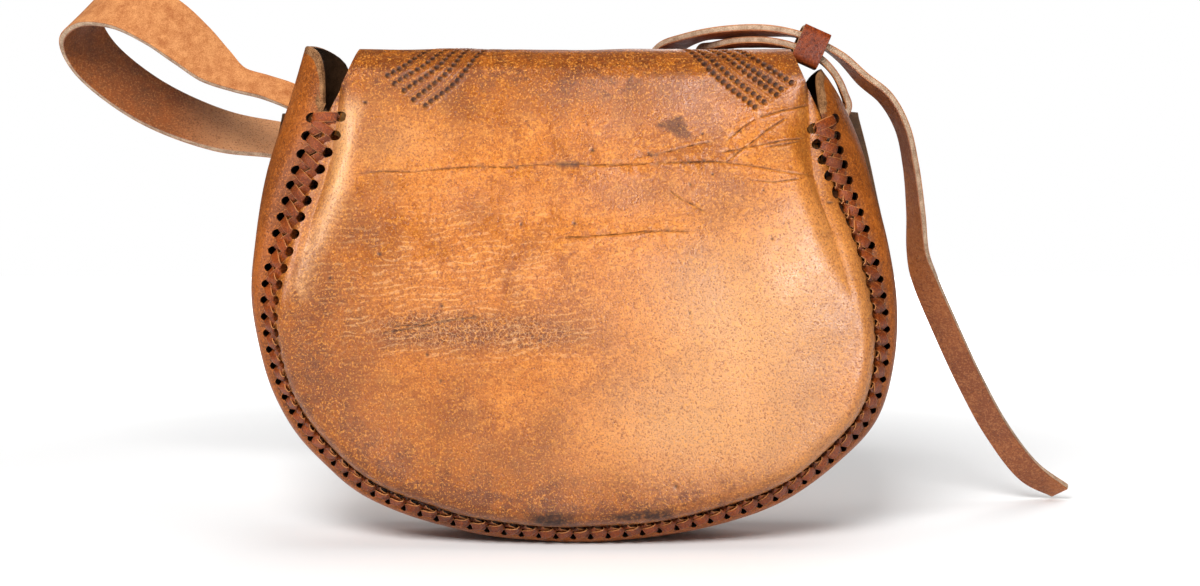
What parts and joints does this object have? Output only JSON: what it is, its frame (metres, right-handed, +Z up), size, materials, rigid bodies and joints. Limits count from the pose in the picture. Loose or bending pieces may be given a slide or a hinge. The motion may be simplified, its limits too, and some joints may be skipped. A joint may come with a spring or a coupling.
{
  "type": "leather handbag",
  "caption": "Laced leather saddle bag standing on its side strip, with a fold-over flap, tooled top edge, thong-laced seams and a leather shoulder strap.",
  "frame": {"origin": "middle of the flattened stretch of the side strip that the bag stands on", "axes": "+Z up; +X to the right as seen from the laced back; -Y towards the laced back, +Y towards the hanging flap"},
  "size_m": [0.4886, 0.1377, 0.2555],
  "materials": {
    "tan_leather": "satin caramel tan with darker patina",
    "side_leather": "satin orange brown",
    "lace_leather": "satin dark reddish brown",
    "strap_leather": "napped flesh side outwards, smooth grain side inwards",
    "keeper_leather": "satin red brown"
  },
  "bodies": {
    "root": {"back_flap": "tan_leather", "gusset": "side_leather", "front_panel": "tan_leather", "back_lacing": "lace_leather", "front_lacing": "lace_leather", "shoulder_strap": "strap_leather", "short_strap": "strap_leather", "strap_keeper": "keeper_leather"}
  },
  "joints": []
}
